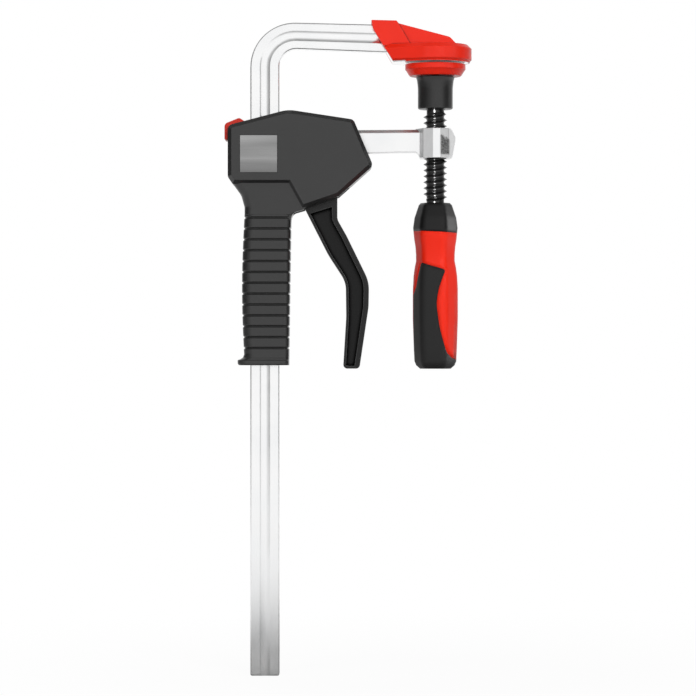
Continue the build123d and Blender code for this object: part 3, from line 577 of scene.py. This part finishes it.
def jaw_cap_rim(material):
    """Red lip under the round part of the jaw cap, drawn from the cap's own edge to just above the jaw face."""
    bm = bmesh.new()
    bm.from_mesh(frame["nodes"]["fixed_jaw_cap"].data)
    edge_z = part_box("fixed_jaw_cap")[0].z
    spare = [face for face in bm.faces if max(v.co.z for v in face.verts) > edge_z + level_tolerance]
    bmesh.ops.delete(bm, geom=spare, context="FACES")
    bmesh.ops.remove_doubles(bm, verts=bm.verts, dist=weld_distance)
    bmesh.ops.bisect_plane(bm, geom=bm.verts[:] + bm.edges[:] + bm.faces[:], plane_co=(jaw_rim_left, 0, 0),
                           plane_no=(-1, 0, 0), clear_outer=True)
    drawn = bmesh.ops.extrude_face_region(bm, geom=bm.faces[:], use_keep_orig=True)["geom"]
    for part in drawn:
        if isinstance(part, bmesh.types.BMVert):
            part.co.z -= edge_z - jaw_rim_clearance
    bmesh.ops.recalc_face_normals(bm, faces=bm.faces)
    piece = mesh_object("jaw_cap_rim", sorted_mesh("jaw_cap_rim", bm), material)
    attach(piece, "rail")
    return piece


def spring_coil(name, node, material):
    """A copy of the spring, put where the CAD node is and shown in its place."""
    mesh = frame["nodes"][node].data.copy()
    mesh.name = name
    mesh.transform(frame["nodes"][node].matrix_world)
    mesh.materials.clear()
    piece = mesh_object(name, mesh, material)
    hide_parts(node)
    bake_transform(piece)


def ring(bm, radius, z):
    """Points on a circle about the screw's axis."""
    turn = 2 * math.pi / core_steps
    return [bm.verts.new((radius * math.cos(i * turn), radius * math.sin(i * turn), z))
            for i in range(core_steps)]


def turned_core(bm, profile):
    """Closed solid of revolution from (radius, z) points, top to bottom."""
    rings = [ring(bm, radius, z) for radius, z in profile]
    for upper, lower in zip(rings, rings[1:]):
        for i in range(core_steps):
            j = (i + 1) % core_steps
            bm.faces.new((upper[i], lower[i], lower[j], upper[j]))
    bm.faces.new(rings[0])
    bm.faces.new(reversed(rings[-1]))


def thread_ridge(bm, root, z_low, z_high):
    """One closed ridge wound round the core, right-handed, that fades out at both ends."""
    turns = (z_high - z_low) / thread_pitch
    count = int(turns * thread_steps)
    half = [(share * thread_pitch / 2, height) for share, height in thread_half_profile]
    profile = [(-dz, height) for dz, height in reversed(half)] + half
    edge = profile[-1][0]
    fade_steps = thread_fade * thread_steps
    rows = []
    for k in range(count + 1):
        z = z_low + (z_high - z_low) * k / count
        angle = 2 * math.pi * (z - thread_phase_z) / thread_pitch
        fade = min(1.0, k / fade_steps, (count - k) / fade_steps)
        crest = [(dz, height * thread_depth * fade) for dz, height in profile]
        section = [(-edge, -thread_foot)] + crest + [(edge, -thread_foot)]
        rows.append([bm.verts.new(((root + r) * math.cos(angle), (root + r) * math.sin(angle), z + dz))
                     for dz, r in section])
    for row, following in zip(rows, rows[1:]):
        for i in range(len(row)):
            j = (i + 1) % len(row)
            bm.faces.new((row[i], following[i], following[j], row[j]))
    bm.faces.new(rows[0])
    bm.faces.new(reversed(rows[-1]))


def threaded_screw():
    """The screw with its real thread, in place of the plain CAD cylinder."""
    low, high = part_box("spindle_screw")
    root = (high.x - low.x) / 2 - thread_depth
    journal = root + journal_over_root
    shank = root - shank_under_root
    sleeve_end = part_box("thrust_sleeve")[0].z
    handle_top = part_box("handle_collar")[1].z
    bm = bmesh.new()
    turned_core(bm, [
        (journal - journal_chamfer, high.z), (journal, high.z - journal_chamfer),
        (journal, sleeve_end - shoulder_near), (root, sleeve_end - shoulder_far),
        (root, handle_top - shoulder_near), (shank, handle_top - shoulder_far), (shank, low.z),
    ])
    thread_ridge(bm, root, handle_top + thread_above_handle, sleeve_end - thread_below_sleeve)
    bmesh.ops.recalc_face_normals(bm, faces=bm.faces)
    piece = mesh_object("spindle_thread", finished_mesh("spindle_thread", bm), black_screw_steel())
    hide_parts("spindle_screw")
    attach(piece, "spindle")
    return piece


# --- Studio ---------------------------------------------------------------------------------

def soft_grey(nodes, links, value, stops):
    """Grey over a value from -1 to 1, by (place from 0 to 1, grey) stops, without hard steps."""
    place = map_range(nodes, links, value, (-1.0, 1.0), (0.0, 1.0))
    return color_ramp(nodes, links, place, stops, "EASE")


def background(nodes, links, color, strength=1.0):
    """Background shader from a colour socket, or white without one."""
    node = nodes.new("ShaderNodeBackground")
    node.inputs["Color"].default_value = (1.0, 1.0, 1.0, 1.0)
    node.inputs["Strength"].default_value = strength
    if color is not None:
        links.new(color, node.inputs["Color"])
    return node.outputs[0]


def blended(nodes, links, share, first, second):
    """Mix of two shaders, by the second one's share."""
    node = nodes.new("ShaderNodeMixShader")
    for socket, value in zip(node.inputs, (share, first, second)):
        links.new(value, socket)
    return node.outputs[0]


def studio_world():
    """White to the camera; a white room with darker sides and top in gloss; soft fill mostly from the front."""
    world = bpy.data.worlds.new("studio")
    bpy.context.scene.world = world
    world.use_nodes = True
    nodes = world.node_tree.nodes
    links = world.node_tree.links
    nodes.clear()
    direction = nodes.new("ShaderNodeTexCoord").outputs["Generated"]
    split = nodes.new("ShaderNodeSeparateXYZ")
    links.new(direction, split.inputs[0])
    room = nodes.new("ShaderNodeMix")
    room.data_type = "RGBA"
    room.blend_type = "MULTIPLY"
    room.inputs["Factor"].default_value = 1.0
    links.new(soft_grey(nodes, links, split.outputs["X"], gloss_across), room.inputs[6])
    links.new(soft_grey(nodes, links, split.outputs["Z"], gloss_upward), room.inputs[7])
    behind = nodes.new("ShaderNodeVectorMath")
    behind.operation = "DOT_PRODUCT"
    links.new(direction, behind.inputs[0])
    behind.inputs[1].default_value = -Vector(bright_side).normalized()
    around = soft_grey(nodes, links, behind.outputs["Value"], fill_around)
    rays = nodes.new("ShaderNodeLightPath")
    seen = nodes.new("ShaderNodeMath")
    seen.operation = "MAXIMUM"
    links.new(rays.outputs["Is Camera Ray"], seen.inputs[0])
    links.new(rays.outputs["Is Transmission Ray"], seen.inputs[1])
    fill = background(nodes, links, around, fill_strength)
    gloss = background(nodes, links, room.outputs[2])
    unseen = blended(nodes, links, rays.outputs["Is Glossy Ray"], fill, gloss)
    surface = blended(nodes, links, seen.outputs[0], unseen, background(nodes, links, None))
    links.new(surface, nodes.new("ShaderNodeOutputWorld").inputs["Surface"])


def floor_paint():
    """Pale grey that glows white to the camera and in far gloss, and so keeps only the clamp's soft shadow."""
    material = bpy.data.materials.new("floor_paint")
    material.use_nodes = True
    nodes = material.node_tree.nodes
    links = material.node_tree.links
    paint = nodes["Principled BSDF"]
    paint.inputs["Base Color"].default_value = (*shade(floor_grey), 1.0)
    paint.inputs["Roughness"].default_value = floor_roughness
    rays = nodes.new("ShaderNodeLightPath")
    distance = nodes.new("ShaderNodeVectorMath")
    distance.operation = "LENGTH"
    links.new(nodes.new("ShaderNodeTexCoord").outputs["Object"], distance.inputs[0])

    def white_share(kind_of_ray, over_distance):
        """White share for one kind of ray, by the distance from the middle."""
        product = nodes.new("ShaderNodeMath")
        product.operation = "MULTIPLY"
        links.new(rays.outputs[kind_of_ray], product.inputs[0])
        links.new(map_range(nodes, links, distance.outputs["Value"], *over_distance), product.inputs[1])
        return product.outputs[0]

    total = nodes.new("ShaderNodeMath")
    total.operation = "ADD"
    links.new(white_share("Is Camera Ray", floor_white_to_camera), total.inputs[0])
    links.new(white_share("Is Glossy Ray", floor_white_in_gloss), total.inputs[1])
    glow = nodes.new("ShaderNodeEmission")
    links.new(map_range(nodes, links, distance.outputs["Value"], *floor_glow), glow.inputs["Strength"])
    surface = blended(nodes, links, total.outputs[0], paint.outputs[0], glow.outputs[0])
    links.new(surface, nodes["Material Output"].inputs["Surface"])
    return material


def floor():
    """Pale floor just under the rail's end."""
    bm = bmesh.new()
    bmesh.ops.create_grid(bm, x_segments=2, y_segments=2, size=floor_half_side)
    mesh = finished_mesh("floor", bm)
    mesh.materials.append(floor_paint())
    piece = bpy.data.objects.new("floor", mesh)
    bpy.context.scene.collection.objects.link(piece)
    piece.location.z = cad_box[0].z - floor_gap


def soft_lamp(name, place, size, power, in_gloss, target):
    """Area lamp at a place, turned to a target."""
    data = bpy.data.lights.new(name, "AREA")
    data.shape = "RECTANGLE"
    data.size, data.size_y = size
    data.energy = power
    lamp = bpy.data.objects.new(name, data)
    bpy.context.scene.collection.objects.link(lamp)
    lamp.location = place
    lamp.rotation_mode = "QUATERNION"
    lamp.rotation_quaternion = (Vector(target) - Vector(place)).to_track_quat("-Z", "Y")
    lamp.visible_glossy = in_gloss
    return lamp


def light_only(lamp, pieces):
    """Lets a lamp light these pieces and nothing else."""
    lit = bpy.data.collections.new("lit_by_" + lamp.name)
    for piece in pieces:
        lit.objects.link(piece)
    lamp.light_linking.receiver_collection = lit


def lamps(screw, cap_rim):
    """The lamps that light everything, and three that light some pieces only."""
    for name, place, size, power, in_gloss in room_lamps:
        soft_lamp(name, place, size, power, in_gloss, lamp_aim)
    nodes = frame["nodes"]
    strip = soft_lamp("strip", place=(-0.43, -1.9, 0.6), size=(0.5, 1.6), power=260, in_gloss=True,
                      target=(0.0, 0.0, -0.06))
    light_only(strip, [screw])
    glow = soft_lamp("handle_glow", place=(1.6, 0.45, -0.1), size=(0.5, 1.2), power=9, in_gloss=True,
                     target=(0.0, 0.0, -0.14))
    light_only(glow, [nodes["handle_collar"], nodes["handle_soft_grip"]])
    left = soft_lamp("cap_left", place=(-1.7, -0.6, -0.1), size=(0.6, 0.8), power=12, in_gloss=False,
                     target=(0.0, 0.0, 0.0))
    light_only(left, [nodes["fixed_jaw_cap"], nodes["swivel_cap"], cap_rim])


def camera():
    """Level camera in front, at the photo's place and angle of view."""
    data = bpy.data.cameras.new("camera")
    data.sensor_width = sensor_width
    data.lens = focal_pixels / picture_side * sensor_width
    data.clip_end = camera_reach
    eye = bpy.data.objects.new("camera", data)
    bpy.context.scene.collection.objects.link(eye)
    eye.location = (camera_x, -camera_distance, camera_z)
    eye.rotation_euler = (math.pi / 2, 0.0, 0.0)
    bpy.context.scene.camera = eye


cap_rim = dress_nodes()
screw = threaded_screw()
studio_world()
floor()
lamps(screw, cap_rim)
camera()
bpy.context.scene.view_settings.view_transform = "Standard"
